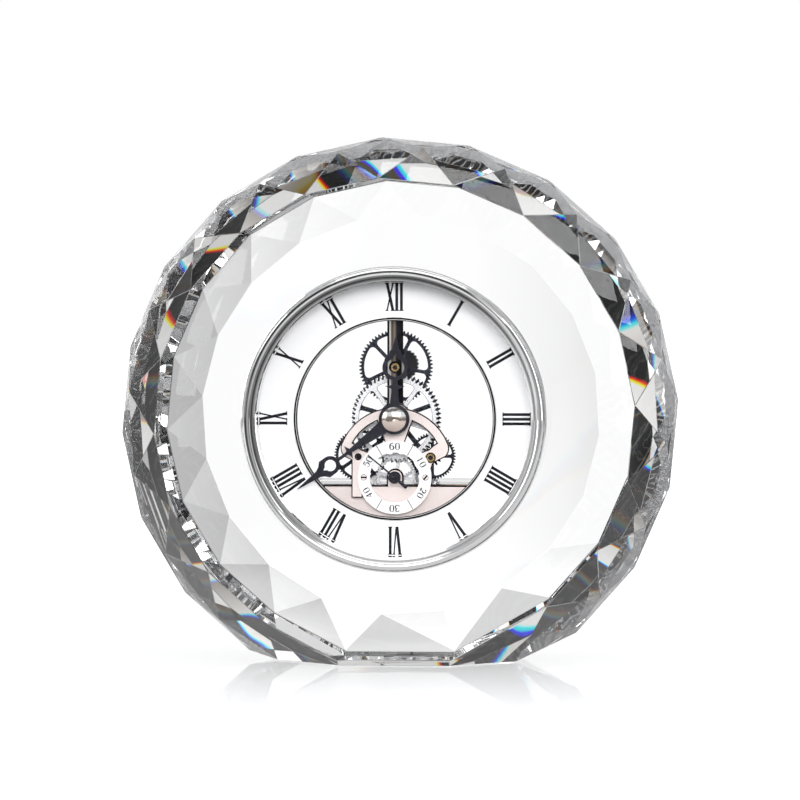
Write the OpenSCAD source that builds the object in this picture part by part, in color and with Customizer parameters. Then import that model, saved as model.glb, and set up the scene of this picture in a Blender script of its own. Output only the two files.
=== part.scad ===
// Crystal desk clock: a faceted block of clear crystal with a skeleton quartz insert.
// Millimetres. The block stands on its flat base, the dial looks towards -Y, +Z is up.
// The origin is at the middle of the bottom of the whole clock.

/* [Crystal block] */
// Radius of the widest ring of facet corners
girdle_r = 79.5; // [74:0.5:90]
// Radius of the shoulder ring, between the flat face and the widest ring
shoulder_r = 76.6; // [72.5:0.1:78.5]
// Radius of the flat front face, measured to its corners
face_r = 67.3; // [60:0.1:70]
// Radius of the flat back face, measured to its corners
back_face_r = 57.2; // [50:0.1:62]
// Thickness of the block from front face to back face
block_t = 45; // [42:0.5:60]
// Depth of the shoulder ring behind each face
shoulder_depth = 14.5; // [12:0.5:18]
// Depth of the shallow ring of facets round the back face
back_step = 3; // [1:0.25:5]
// Number of facets round the block
facets = 20; // [18:1:24]
// Turn of the facet pattern from upright, in degrees
facet_turn = 3.5; // [0:0.5:6]
// Height of the dial centre above the base
dial_z = 68.8; // [66:0.1:71]
// Width of the base at its widest
base_w = 70.2; // [60:0.1:76]
// Width of the front and back edges of the base
base_edge_w = 31.4; // [24:0.1:40]
// Small bevel round the bottom edge
base_bevel = 1.3; // [0.5:0.1:2]
// Radius of the hole that holds the clock insert
bore_r = 41; // [40:0.1:44]
// Small bevel round the back edge of the hole
bore_bevel = 0.6; // [0.3:0.1:1]

/* [Bezel and lens] */
// How far the bezel stands in front of the block
bezel_lift = 2.5; // [2:0.1:3.5]
// Width of the bezel flange beyond the hole
bezel_lap = 1.7; // [1.5:0.1:4]
// Length of the bezel skirt inside the hole
skirt_l = 10; // [8:0.5:13]
// Wall of the bezel skirt
skirt_wall = 0.8; // [0.6:0.05:1]
// Thickness of the glass lens
lens_t = 1.5; // [1:0.1:1.8]
// How far the glass sits below the top of the bezel
lens_sink = 1.4; // [1:0.1:1.8]
// Width of the bezel lip that laps over the glass
lens_lap = 1.2; // [0.8:0.1:1.6]
// Wall of the reflector ring between glass and dial
reflector_wall = 1.5; // [1:0.1:2]
// Depth of the dial behind the front face
dial_depth = 6; // [5.8:0.1:8]

/* [Dial] */
// Thickness of the dial plate
dial_t = 0.6; // [0.4:0.1:1]
// Radius of the round opening in the dial
opening_r = 28.4; // [27.8:0.1:29.5]
// Wall of the polished ring in the dial opening
trim_wall = 0.9; // [0.6:0.1:1.2]
// How far the polished ring stands above the dial
trim_lift = 0.5; // [0.3:0.1:0.7]
// Drop from the dial centre to the seconds dial centre
seconds_drop = 16.4; // [16:0.1:16.6]
// Outer radius of the seconds dial
seconds_r = 10.3; // [9.8:0.1:10.3]
// Radius of the opening in the seconds dial
seconds_open_r = 7; // [6.5:0.1:7.4]
// Thickness of the seconds dial
seconds_t = 0.5; // [0.3:0.1:0.6]

/* [Hands] */
// Length of the minute hand from the centre
minute_l = 33.5; // [31:0.1:35]
// Length of the hour hand from the centre
hour_l = 23; // [21:0.1:25]
// Length of the seconds hand from its centre
seconds_l = 9.8; // [8:0.1:10.2]
// Thickness of the minute and hour hands
hand_t = 0.4; // [0.3:0.05:0.5]
// Angle of the minute hand, clockwise from 12
minute_angle = 234; // [0:1:359]
// Angle of the hour hand, clockwise from 12
hour_angle = 1; // [0:1:359]
// Angle of the seconds hand, clockwise from 60
seconds_angle = 310; // [0:1:359]
// Radius of the cap nut in the centre
nut_r = 3.5; // [3:0.1:4]
// Radius of the hub of the minute and hour hands
hand_hub_r = 4.3; // [3.9:0.1:4.6]

/* [Plates and bridges] */
// Thickness of the lower plate and the upper bar
plate_t = 1.4; // [1.2:0.1:1.6]
// Thickness of the arched front bridge
bridge_t = 1.4; // [1.2:0.1:1.6]
// Thickness of the frame ring behind the dial
frame_t = 1.2; // [1:0.1:1.5]
// Drop from the dial centre to the edge of the lower plate
plate_drop = 18.7; // [18.2:0.1:19.2]
// Width of the upper bar
bar_w = 4.5; // [3.6:0.1:5.4]
// Radius of the round boss on the upper bar
bar_boss_r = 3.5; // [3:0.1:4]
// Radius of the outside of the arch on the front bridge
arch_r = 16.2; // [15.8:0.1:16.6]
// Width of the arch
arch_w = 2.9; // [2.4:0.1:3.2]
// Distance from the frame ring back to the clear back plate
train_depth = 11.4; // [11.2:0.1:12.4]
// Thickness of the clear back plate
back_plate_t = 2; // [1.5:0.1:3]
// Radius of the circle that the pillars stand on
pillar_circle_r = 34; // [33:0.1:34.6]
// Radius of each pillar
pillar_r = 1.5; // [1:0.1:1.8]

/* [Wheels] */
// Thickness of a toothed wheel
wheel_t = 0.8; // [0.5:0.05:0.9]
// Radius of the arbors that carry the wheels
arbor_r = 0.6; // [0.45:0.05:0.65]
// Radius of the arbor in the centre
centre_arbor_r = 0.8; // [0.6:0.05:0.9]
// Distance from the centre to the top arbor
top_rise = 14.4; // [14.2:0.1:14.8]
// Distance from the centre to the left and right arbors
side_reach = 14.8; // [14.75:0.01:14.9]
// Direction of the right arbor, in degrees
right_dir = -47.3; // [-47.5:0.1:-46]
// Direction of the left arbor, in degrees
left_dir = 226; // [224:0.5:228]
// Pitch radius of the right wheel
right_wheel_r = 6.45; // [6.3:0.01:6.6]
// Pitch radius of the left wheel
left_wheel_r = 7.3; // [6.8:0.01:7.5]
// Pitch radius of the seconds wheel
seconds_wheel_r = 5.5; // [5.4:0.01:5.6]
// Pitch radius of the drive wheel
drive_wheel_r = 5.1; // [5:0.05:5.2]
// Distance from the seconds arbor to the lower arbor
lower_reach = 7.5; // [7.4:0.01:7.6]

/* [Case] */
// Wall of the clear rear case
case_wall = 1.3; // [1:0.1:1.6]
// Depth of the rear case behind the front face
case_depth = 38; // [37.5:0.5:39]
// Thickness of the floor of the rear case
case_floor = 2; // [1.5:0.1:2.5]
// Radius of the setting knob at the back
knob_r = 4.5; // [3.5:0.1:6]
// Length of the setting knob
knob_l = 4.4; // [3:0.1:4.6]
// Radius of the battery
cell_r = 5.25; // [5.1:0.05:5.3]
// Length of the battery with its terminal
cell_l = 44.4; // [44:0.1:44.5]
// Drop from the dial centre to the battery
cell_drop = 24.8; // [24.4:0.1:25]

/* [Hidden] */
$fn = 96;

// Clearances: a turning fit, a sliding fit and a free gap
turn_gap = 0.06;
slide_gap = 0.1;
free_gap = 0.3;

// The front face of the block, with the bezel's lift and the block's depth centred on the origin
face_y = bezel_lift - (block_t + bezel_lift) / 2;

// Radii of the insert, from the hole inwards
skirt_r = bore_r - 2 * slide_gap;
case_r = skirt_r - skirt_wall - slide_gap;
case_inner_r = case_r - case_wall;
seal_w = 0.5;
lens_r = case_r - slide_gap - seal_w;
lip_r = lens_r + seal_w - lens_lap;
dial_r = case_r - slide_gap;
reflector_inner_r = dial_r - reflector_wall;

// Levels of the insert: heights above the front face, negative towards the back
lens_front = bezel_lift - lens_sink;
lens_back = lens_front - lens_t;
dial_front = -dial_depth;
dial_back = dial_front - dial_t;
frame_back = dial_back - frame_t;
plate_back = frame_back - plate_t;
bridge_front = frame_back + bridge_t;
seconds_front = bridge_front + seconds_t;
seconds_hand_t = 0.3;
seconds_hand_level = seconds_front + 0.35;
hour_hand_level = seconds_hand_level + seconds_hand_t + 0.5;
minute_hand_level = hour_hand_level + hand_t + 0.5;
nut_level = minute_hand_level + hand_t + 0.05;
nut_rim_t = 0.45;
nut_dome = 0.75;

pinion_extra = 0.2;
hour_wheel_level = plate_back - 0.4 - wheel_t;
top_wheel_level = hour_wheel_level - wheel_t - 0.8;
seconds_wheel_t = wheel_t * 0.8;
seconds_wheel_level = hour_wheel_level - 0.5 - seconds_wheel_t;
centre_wheel_level = top_wheel_level - wheel_t - 1;
drive_wheel_level = seconds_wheel_level - 1 - seconds_wheel_t;
side_wheel_level = centre_wheel_level - wheel_t - 1;
lower_wheel_level = side_wheel_level - wheel_t - 0.9;
back_plate_front = frame_back - train_depth;
back_plate_back = back_plate_front - back_plate_t;

// Teeth of each pair. Only whole numbers mesh, so they are fixed
centre_teeth = 60;
side_pinion_teeth = 12;
cannon_teeth = 25;
top_teeth = 60;
top_pinion_teeth = 12;
hour_teeth = 60;
right_teeth = 48;
left_teeth = 54;
idler_teeth = 16;
lower_teeth = 48;
seconds_pinion_teeth = 12;
seconds_teeth = 40;
drive_pinion_teeth = 10;
drive_teeth = 60;
rotor_teeth = 8;

// Modules, from the distances between the arbors
side_module = 2 * side_reach / (centre_teeth + side_pinion_teeth);
cannon_module = 2 * top_rise / (cannon_teeth + top_teeth);
hour_module = 2 * top_rise / (hour_teeth + top_pinion_teeth);
right_module = 2 * right_wheel_r / right_teeth;
left_module = 2 * left_wheel_r / left_teeth;
lower_module = 2 * lower_reach / (lower_teeth + seconds_pinion_teeth);
seconds_module = 2 * seconds_wheel_r / seconds_teeth;
drive_module = 2 * drive_wheel_r / drive_teeth;

// Places of the arbors in the dial plane, from the dial centre
function polar(r, a) = [r * cos(a), r * sin(a)];
function heading(p, q) = atan2(q[1] - p[1], q[0] - p[0]);
centre = [0, 0];
top_at = [0, top_rise];
right_at = polar(side_reach, right_dir);
left_at = polar(side_reach, left_dir);
seconds_at = [0, -seconds_drop];
lower_dir = -35;
lower_at = seconds_at + polar(lower_reach, lower_dir);
idler_to_right = (right_teeth + idler_teeth) * right_module / 2;
idler_to_lower = idler_teeth * right_module;
idler_at = corner(right_at, lower_at, idler_to_right, idler_to_lower);
drive_reach = (seconds_teeth + drive_pinion_teeth) * seconds_module / 2;
drive_at = seconds_at + polar(drive_reach, 225);
rotor_reach = (drive_teeth + rotor_teeth) * drive_module / 2;
rotor_at = drive_at + polar(rotor_reach, 224);

// The point at distance a from p and b from q, on the left of the way from p to q
function corner(p, q, a, b) =
    let (d = norm(q - p), along = (a * a - b * b + d * d) / (2 * d),
         side = sqrt(a * a - along * along), u = (q - p) / d)
    p + along * u + side * [-u[1], u[0]];

// Hubs, pipes and bushes
hour_pipe_r = 2.2;
cannon_r = 1.5;
pipe_hole_r = hour_pipe_r + slide_gap;
bush_r = 1.15;
seconds_hub_r = 1.75;
nut_knurls = 40;

// Plates, bridge and their screws
lower_plate_r = pillar_circle_r;
seconds_tab_r = 2.4;
blind_front = frame_back - 0.4;
bar_top_r = 33;
bridge_boss_r = 4.6;
arch_at = [0, bridge_boss_r - 1.4 - arch_r];
arch_turn = 22;
elbow_r = 3.5;
leg_w = 3.6;
foot_x = 9;
foot_w = 3.2;
foot_l = 3.5;
elbow_end = -42;
leg_end = -64;
foot_rise = 1;
ring_start = 8;
seat_r = seconds_r - 0.2;
boss_meets_arch = corner(centre, arch_at, bridge_boss_r, arch_r);
boss_meet = heading(centre, boss_meets_arch);
window_start = 68;
window_rest = 6;
window_heel = [0.9, 3.6];
window_toe = [-0.6, 2.3];
window_sink = 0.5;
window_foot_from = 45;
window_foot_to = 74;
screw_head_r = 0.85;
screw_r = 0.45;
seconds_screw_reach = (seconds_r + seconds_open_r) / 2;
seconds_screws_at = [for (s = [-1, 1]) seconds_at + [s * seconds_screw_reach, 0]];
pillar_places = [for (a = [40, 140, 220, 320]) polar(pillar_circle_r, a)];

// Motor and circuit board
rotor_shaft_r = 0.4;
magnet_r = 2.2;
magnet_l = 2.8;
magnet_front = drive_wheel_level - 1.2;
stator_t = 0.7;
stator_front = magnet_front - 1;
stator_back = stator_front - stator_t;
coil_r = 2.6;
coil_drop = 32.2;
coil_l = 17;
arm_top = coil_drop - coil_r - 0.2;
arm_w = 1.7;
lug_w = 4;
stator_posts_at = [for (s = [-1, 1]) [s * (coil_l / 2 + lug_w / 2), -arm_top - 0.6]];
coil_level = (stator_front + stator_back) / 2;
board_t = 0.8;
board_front = plate_back - 0.2;
board_back = board_front - board_t;
board_from = [0.5, -28.8];
board_to = [16, -23.6];

// Rear case, battery bay and setting knob
ledge_w = 1.5;
contact_room = 1.2;
contact_t = 0.3;
terminal_l = 0.8;
bay_gap = 0.3;
bay_wall = 1;
bay_l = cell_l + 2 * contact_room;
bay_w = 2 * (cell_r + bay_gap);
bay_front = back_plate_back - 0.6;
cell_level = bay_front - bay_wall - bay_gap - cell_r;
knob_front = -case_depth - 0.4;
knob_flutes = 24;

// A gear flank: the half angle of a tooth at radius r
pressure_angle = 25;
addendum = 0.95;
dedendum = 1.2;
backlash = 0.13;
function roll(base_r, r) = r <= base_r ? 0 : sqrt(pow(r / base_r, 2) - 1) * 180 / PI - acos(base_r / r);
function half_tooth(teeth, pitch_r, r) =
    90 / teeth * (1 - backlash) + roll(pitch_r * cos(pressure_angle), pitch_r)
    - roll(pitch_r * cos(pressure_angle), r);
function tooth_radii(teeth, mod) =
    let (p = teeth * mod / 2) [p - dedendum * mod, p - 0.3 * mod, p + addendum * mod];
function gear_points(teeth, mod, phase) =
    let (rs = tooth_radii(teeth, mod), p = teeth * mod / 2)
    [for (i = [0 : teeth - 1], s = [-1, 1], k = [0 : 2])
        let (r = rs[s < 0 ? k : 2 - k])
        polar(r, phase + i * 360 / teeth + s * max(half_tooth(teeth, p, r), 2 / teeth))];

// The phase that a gear needs to mesh with one whose first tooth is at phase_1
function mesh_phase(way, phase_1, teeth_1, teeth_2) =
    way + 180 + 180 / teeth_2 - (phase_1 - way) * teeth_1 / teeth_2;

centre_phase = 0;
right_pinion_phase = mesh_phase(right_dir, centre_phase, centre_teeth, side_pinion_teeth);
left_pinion_phase = mesh_phase(left_dir, centre_phase, centre_teeth, side_pinion_teeth);
cannon_phase = 0;
top_phase = mesh_phase(90, cannon_phase, cannon_teeth, top_teeth);
top_pinion_phase = 0;
hour_phase = mesh_phase(-90, top_pinion_phase, top_pinion_teeth, hour_teeth);
right_phase = 0;
idler_phase = mesh_phase(heading(right_at, idler_at), right_phase, right_teeth, idler_teeth);
lower_pinion_phase = mesh_phase(heading(idler_at, lower_at), idler_phase, idler_teeth, idler_teeth);
lower_phase = 0;
seconds_pinion_phase =
    mesh_phase(heading(lower_at, seconds_at), lower_phase, lower_teeth, seconds_pinion_teeth);
seconds_phase = 0;
drive_pinion_phase =
    mesh_phase(heading(seconds_at, drive_at), seconds_phase, seconds_teeth, drive_pinion_teeth);
drive_phase = 0;
rotor_phase = mesh_phase(heading(drive_at, rotor_at), drive_phase, drive_teeth, rotor_teeth);

// Moves a shape drawn in the dial plane, with its height towards the viewer, to its place
module at_dial(level = 0, at = [0, 0])
    translate([0, face_y, dial_z]) rotate([90, 0, 0]) translate([at[0], at[1], level]) children();

module plate(front, back) at_dial(back) linear_extrude(front - back) children();

module turned() at_dial() rotate_extrude() children();

module shaft(at, r, front, back) at_dial(back, at) cylinder(r = r, h = front - back);

module ring(outer, inner, front, back)
    at_dial(back) difference() {
        cylinder(r = outer, h = front - back);
        translate([0, 0, -1]) cylinder(r = inner, h = front - back + 2);
    }

module bar_2d(p, q, w)
    translate(p) rotate(heading(p, q)) translate([0, -w / 2]) square([norm(q - p), w]);

module gear_2d(teeth, mod, phase = 0) polygon(gear_points(teeth, mod, phase));

function arc(c, r, a0, a1, n) = [for (i = [0 : n]) c + polar(r, a0 + (a1 - a0) * i / n)];

// One window between two spokes, with round corners at the rim
function window_points(a0, step, spoke_w, hub_r, rim_r, round_r) =
    let (lean = asin((spoke_w / 2 + round_r) / (rim_r - round_r)), foot = asin(spoke_w / 2 / hub_r),
         a1 = a0 + step)
    concat(
        arc(polar(rim_r - round_r, a0 + lean), round_r, a0 - 90, a0 + lean, 5),
        arc([0, 0], rim_r, a0 + lean, a1 - lean, 8),
        arc(polar(rim_r - round_r, a1 - lean), round_r, a1 - lean, a1 + 90, 5),
        arc([0, 0], hub_r, a1 - foot, a0 + foot, 5)
    );

// A toothed wheel with a thin rim and straight spokes, bored for its arbor
module wheel_2d(teeth, mod, phase, spokes, first, hub_r, spoke_w, rim_w, round_r, hole_r) {
    rim_r = teeth * mod / 2 - dedendum * mod - rim_w;
    difference() {
        gear_2d(teeth, mod, phase);
        for (k = [0 : spokes - 1])
            polygon(window_points(first + k * 360 / spokes, 360 / spokes, spoke_w, hub_r, rim_r, round_r));
        circle(r = hole_r);
    }
}

module wheel(at, level, thick, teeth, mod, phase, spokes, first, hub_r, spoke_w, rim_w, round_r, hole_r)
    at_dial(level, at) linear_extrude(thick)
        wheel_2d(teeth, mod, phase, spokes, first, hub_r, spoke_w, rim_w, round_r, hole_r);

// An arbor with its pinion cut from the same bar
module pinion_arbor(at, front, back, teeth, mod, phase, level, thick, r = arbor_r) {
    shaft(at, r, front, back);
    at_dial(level - pinion_extra, at) linear_extrude(thick + 2 * pinion_extra) gear_2d(teeth, mod, phase);
}

// Corners of the crystal. The lowest facets are left out, because the base takes their place
lowest_facet = 31;
function above_base(a) = abs(((a + 90) % 360 + 540) % 360 - 180) > lowest_facet;
function facet_ring(r, level, turn, all_round = false) =
    [for (k = [0 : facets - 1])
        let (a = turn + k * 360 / facets) if (all_round || above_base(a)) [r * cos(a), r * sin(a), level]];
function base_corners(inset, height) =
    [for (s = [-1, 1], e = [
            [base_edge_w / 2, -inset], [base_w / 2 - inset, -shoulder_depth],
            [base_w / 2 - inset, shoulder_depth - block_t], [base_edge_w / 2, inset - block_t + back_step]])
        [s * e[0], height - dial_z, e[1]]];

module crystal_block() color("azure", 0.35)
    at_dial() difference() {
        corners = concat(
            facet_ring(face_r, 0, facet_turn),
            facet_ring(shoulder_r, -shoulder_depth, facet_turn + 180 / facets),
            facet_ring(girdle_r, -block_t / 2, facet_turn),
            facet_ring(shoulder_r, shoulder_depth - block_t, facet_turn + 180 / facets),
            facet_ring(face_r, back_step - block_t, facet_turn),
            facet_ring(back_face_r, -block_t, facet_turn + 180 / facets, true),
            base_corners(0, base_bevel),
            base_corners(base_bevel, 0)
        );
        hull() polyhedron(points = corners, faces = [[for (i = [0 : len(corners) - 1]) i]]);
        translate([0, 0, -block_t - 1]) cylinder(r = bore_r, h = block_t + 2);
        translate([0, 0, -block_t - 1]) cylinder(r1 = bore_r + bore_bevel + 1, r2 = bore_r, h = bore_bevel + 1);
    }

// Turned chrome bezel: a flange over the block, a round bead, a step and a lip over the glass
module bezel_ring() color("silver") turned() {
    flange_r = bore_r + bezel_lap;
    bead_r = (flange_r - lip_r) / 3;
    bead_at = [flange_r - 0.5 - bead_r, bezel_lift - bead_r];
    polygon(concat(
        [[skirt_r - skirt_wall, -skirt_l], [skirt_r, -skirt_l], [skirt_r, 0], [flange_r, 0], [flange_r, 0.55]],
        [[flange_r - 0.35, 0.7]],
        arc(bead_at, bead_r, 0, 160, 12),
        [[lip_r + 0.75, lens_front + 0.75], [lip_r + 0.45, lens_front + 0.75], [lip_r, lens_front + 0.35]],
        [[lip_r, lens_front], [skirt_r - skirt_wall, lens_front]]
    ));
}

module front_lens() color("aliceblue", 0.3)
    at_dial(lens_back) cylinder(r = lens_r, h = lens_t);

module lens_seal() color("dimgray")
    ring(dial_r, lens_r + slide_gap / 2, lens_front, lens_back);

// Polished ring that stands between the glass and the dial
module reflector_ring() color("silver") turned()
    polygon([
        [dial_r, dial_front], [dial_r, lens_back], [reflector_inner_r + 0.5, lens_back],
        [reflector_inner_r + 0.5, lens_back - 1], [reflector_inner_r + 0.2, lens_back - 1.2],
        [reflector_inner_r, dial_front + 0.6], [reflector_inner_r, dial_front]
    ]);

module dial_plate() color("whitesmoke") ring(dial_r, opening_r, dial_front, dial_back);

// Polished ring in the dial opening, with a groove turned in its face
module dial_trim_ring() color("silver") turned() {
    inner = opening_r - trim_wall;
    outer = opening_r - slide_gap / 2;
    top = dial_front + trim_lift;
    polygon([
        [inner, frame_back + 0.2], [inner, top - 0.2], [inner + 0.15, top], [inner + 0.35, top],
        [inner + 0.45, top - 0.25], [outer - 0.4, top - 0.25], [outer - 0.3, top], [outer - 0.1, top],
        [outer, top - 0.1], [outer, frame_back + 0.2]
    ]);
}

module movement_frame() color("gainsboro") ring(case_inner_r - slide_gap, opening_r, dial_back, frame_back);

// Lower plate: a segment of a disc, with a round tab that carries the seconds arbor
module lower_plate() color("mistyrose") difference() {
    plate(frame_back, plate_back) difference() {
        union() {
            intersection() {
                circle(r = lower_plate_r);
                translate([-lower_plate_r, -2 * lower_plate_r - plate_drop])
                    square(2 * lower_plate_r);
            }
            translate(seconds_at) circle(r = seconds_tab_r);
            translate(seconds_at + [-seconds_tab_r, seconds_drop - plate_drop - 1])
                square([2 * seconds_tab_r, plate_drop - seconds_drop + 1]);
        }
        translate(seconds_at) circle(r = bush_r);
        for (a = [220, 320]) translate(polar(pillar_circle_r, a)) circle(r = pillar_r + slide_gap);
    }
    for (p = [drive_at, lower_at]) shaft(p, arbor_r + turn_gap, blind_front, plate_back - 1);
    shaft(rotor_at, rotor_shaft_r + turn_gap, blind_front, plate_back - 1);
    shaft(idler_at, arbor_r, blind_front, plate_back - 1);
}

// Upper bar: from the frame ring down to the centre, with a boss for the top arbor
module upper_bar() color("slategray") plate(frame_back, plate_back)
    difference() {
        union() {
            translate([-bar_w / 2, 0]) square([bar_w, bar_top_r]);
            translate([-bar_w, opening_r + 1]) square([2 * bar_w, bar_top_r - opening_r - 1]);
            translate(top_at) circle(r = bar_boss_r);
            circle(r = bridge_boss_r);
        }
        translate(top_at) circle(r = bush_r);
        circle(r = pipe_hole_r);
    }

// Arched front bridge: an arch over two open windows, a leg on each side, a boss in the
// middle for the hour pipe, a foot, and a ring that carries the seconds dial
arch_side = [
    for (q = arc(arch_at, arch_r, heading(arch_at, boss_meets_arch), arch_turn, 7)) q,
    for (q = arc(arch_at + polar(arch_r - elbow_r, arch_turn), elbow_r, arch_turn, elbow_end, 5)) q
];
bridge_outline = concat(
    arc(centre, bridge_boss_r, 180 - boss_meet, boss_meet, 8),
    arch_side,
    arc(right_at, leg_w / 2, elbow_end, leg_end, 2),
    arc(seconds_at, seat_r, ring_start, acos(foot_x / seat_r) - 180, 20),
    [[-foot_x, -plate_drop - foot_l], [-foot_x - foot_w, -plate_drop - foot_l]],
    [[-foot_x - foot_w, left_at[1] - foot_rise]],
    other_side(arch_side)
);
window_side = [
    for (q = arc(arch_at, arch_r - arch_w, window_start, arch_turn + window_rest, 6)) q,
    right_at + window_heel,
    right_at + window_toe,
    seconds_at + polar(seconds_r - window_sink, window_foot_from),
    seconds_at + polar(seconds_r - window_sink, window_foot_to)
];
function other_side(points) = [for (k = [len(points) - 1 : -1 : 0]) [-points[k][0], points[k][1]]];
module front_bridge() color("mistyrose") plate(bridge_front, frame_back)
    difference() {
        polygon(bridge_outline);
        for (s = [0, 1]) mirror([s, 0]) polygon(window_side);
        translate(seconds_at) circle(r = seconds_open_r);
        circle(r = pipe_hole_r);
        translate(right_at) circle(r = bush_r);
        translate(left_at) circle(r = arbor_r + turn_gap);
        for (p = seconds_screws_at) translate(p) circle(r = screw_r);
    }

// White ring of the seconds dial, held by two slotted screws
module seconds_dial() color("white") plate(seconds_front, bridge_front)
    difference() {
        translate(seconds_at) circle(r = seconds_r);
        translate(seconds_at) circle(r = seconds_open_r);
        for (p = seconds_screws_at) translate(p) circle(r = screw_r);
    }

// A screw with a domed slotted head
module screw(at, seat, head_r, body_r, length, slot_angle)
    at_dial(seat, at) difference() {
        union() {
            cylinder(r = head_r, h = 0.22);
            translate([0, 0, -length]) cylinder(r = body_r, h = length + 0.1);
        }
        rotate(slot_angle) translate([-head_r, -0.12, 0.1]) cube([2 * head_r, 0.24, 0.3]);
    }

module seconds_dial_screws() color("rosybrown")
    for (i = [0, 1])
        screw(seconds_screws_at[i], seconds_front, screw_head_r, screw_r - 0.02,
              seconds_t + bridge_t - 0.1, i == 0 ? 0 : 50);

module pillars() color("silver")
    for (p = pillar_places) shaft(p, pillar_r, frame_back, back_plate_front);

module pillar_screws() color("dimgray")
    for (i = [0 : 3])
        at_dial(0, pillar_places[i]) mirror([0, 0, 1]) translate([0, 0, -back_plate_back])
            difference() {
                cylinder(r = pillar_r, h = 0.7);
                rotate(35 * i) translate([-pillar_r, -0.2, 0.35]) cube([2 * pillar_r, 0.4, 1]);
            }

module back_plate() color("aliceblue", 0.35) plate(back_plate_front, back_plate_back)
    difference() {
        circle(r = case_inner_r - ledge_w - slide_gap);
        for (p = [top_at, right_at, left_at, seconds_at, lower_at, drive_at])
            translate(p) circle(r = arbor_r + turn_gap);
        translate(rotor_at) circle(r = rotor_shaft_r + turn_gap);
        circle(r = centre_arbor_r + turn_gap);
    }

// Clear rear case: a cup with a ledge for the frame ring, a bay for the battery, open at
// the back, and a hole for the setting arbor
module bay_2d(grow = 0)
    translate([-bay_l / 2 - grow, -cell_drop - bay_w / 2 - grow])
        square([bay_l + 2 * grow, bay_w + 2 * grow]);
module rear_case() color("aliceblue", 0.3) difference() {
    union() {
        ring(case_r, case_inner_r, dial_back - 0.1, -case_depth);
        ring(case_inner_r + 0.1, case_inner_r - ledge_w, frame_back, frame_back - 1.6);
        shaft(centre, case_r, case_floor - case_depth, -case_depth);
        plate(bay_front, -case_depth) intersection() {
            bay_2d(bay_wall);
            circle(r = case_r - 0.2);
        }
    }
    plate(bay_front - bay_wall, -case_depth - 1) bay_2d();
    shaft(top_at, arbor_r + free_gap, 0, -case_depth - 1);
}

module fit_gasket() color("lightgray")
    for (level = [-skirt_l - 4, -case_depth + 6]) turned() {
        outer = bore_r - slide_gap;
        polygon([
            [case_r + 0.02, level - 2], [outer - 0.2, level - 2], [outer, level - 1.7],
            [outer, level - 0.3], [outer - 0.2, level], [case_r + 0.02, level]
        ]);
    }

// Brass bushes, pressed into the bar and the bridge
module bush(at, front, back)
    at_dial(back, at) difference() {
        cylinder(r = bush_r, h = front - back + 0.1);
        translate([0, 0, -1]) cylinder(r = arbor_r + turn_gap, h = front - back + 2);
        translate([0, 0, front - back - 0.1]) cylinder(r = arbor_r + 0.25, h = 1);
    }
module top_bush() color("goldenrod") bush(top_at, frame_back, plate_back);
module right_bush() color("goldenrod") bush(right_at, bridge_front, frame_back);
module seconds_bush() color("silver") bush(seconds_at, frame_back, plate_back);

module idler_stud() color("silver") {
    shaft(idler_at, arbor_r, blind_front, side_wheel_level - pinion_extra - 0.15);
    shaft(idler_at, 1.1, plate_back, side_wheel_level + wheel_t + pinion_extra + 0.15);
}

// Stator of the stepping motor, with the round hole for the rotor
module stator() color("lightsteelblue") plate(stator_front, stator_back)
    difference() {
        union() {
            translate(rotor_at) circle(r = magnet_r + 1.5);
            translate([rotor_at[0], -arm_top]) square([coil_l / 2 + lug_w - rotor_at[0], arm_w]);
            for (s = [-1, 1])
                translate([s * (coil_l / 2 + lug_w / 2) - lug_w / 2, -coil_drop - 1]) square([lug_w, coil_drop - arm_top + 2]);
            translate([-coil_l / 2 - 1, -coil_drop - 0.8]) square([coil_l + 2, 1.6]);
        }
        translate(rotor_at) circle(r = magnet_r + 0.4);
        for (p = stator_posts_at) translate(p) circle(r = 0.5);
    }
module stator_posts() color("silver")
    for (p = stator_posts_at) {
        shaft(p, 0.9, plate_back, stator_front);
        shaft(p, 0.48, stator_front + 0.1, stator_back - 0.3);
    }

module coil_bobbin() color("black")
    for (s = [-1, 1])
        at_dial(coil_level, [s * (coil_l / 2 - 0.4), -coil_drop]) rotate([0, 90, 0]) difference() {
            cylinder(r = coil_r, h = 0.8, center = true);
            translate([-stator_t / 2 - 0.05, -0.85, -1]) cube([stator_t + 0.1, 1.7, 2]);
        }
module coil_winding() color("peru")
    at_dial(coil_level, [0, -coil_drop]) rotate([0, 90, 0]) difference() {
        cylinder(r = coil_r - 0.3, h = coil_l - 1.7, center = true);
        translate([-stator_t / 2 - 0.05, -0.85, -coil_l]) cube([stator_t + 0.1, 1.7, 2 * coil_l]);
    }

// Circuit board, with its control chip and quartz crystal, behind the lower plate
module circuit_board() color("darkgreen") plate(board_front, board_back)
    translate(board_from) square(board_to - board_from);
module control_chip() color("black") plate(board_back, board_back - 0.9)
    translate(board_from + [1.5, 1.4]) square([3.4, 3]);
module quartz_can() color("silver")
    at_dial(board_back - 1.05, board_from + [7.5, 3]) rotate([0, 90, 0]) cylinder(r = 1, h = 6);

// Battery on its side in the bay, with a sprung plate at each end
module battery_cell() color("goldenrod")
    at_dial(cell_level, [-cell_l / 2, -cell_drop]) rotate([0, 90, 0]) {
        cylinder(r = cell_r, h = cell_l - terminal_l);
        cylinder(r = 1.9, h = cell_l);
    }
module cell_contacts() color("silver")
    for (s = [-1, 1])
        at_dial(cell_level, [s * (bay_l / 2 - 0.1), -cell_drop]) rotate([0, -90 * s, 0]) {
            translate([-3, -3, 0]) cube([6, 6, contact_t]);
            cylinder(r1 = 2.4, r2 = 1.4, h = contact_room - 0.15);
        }

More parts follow.
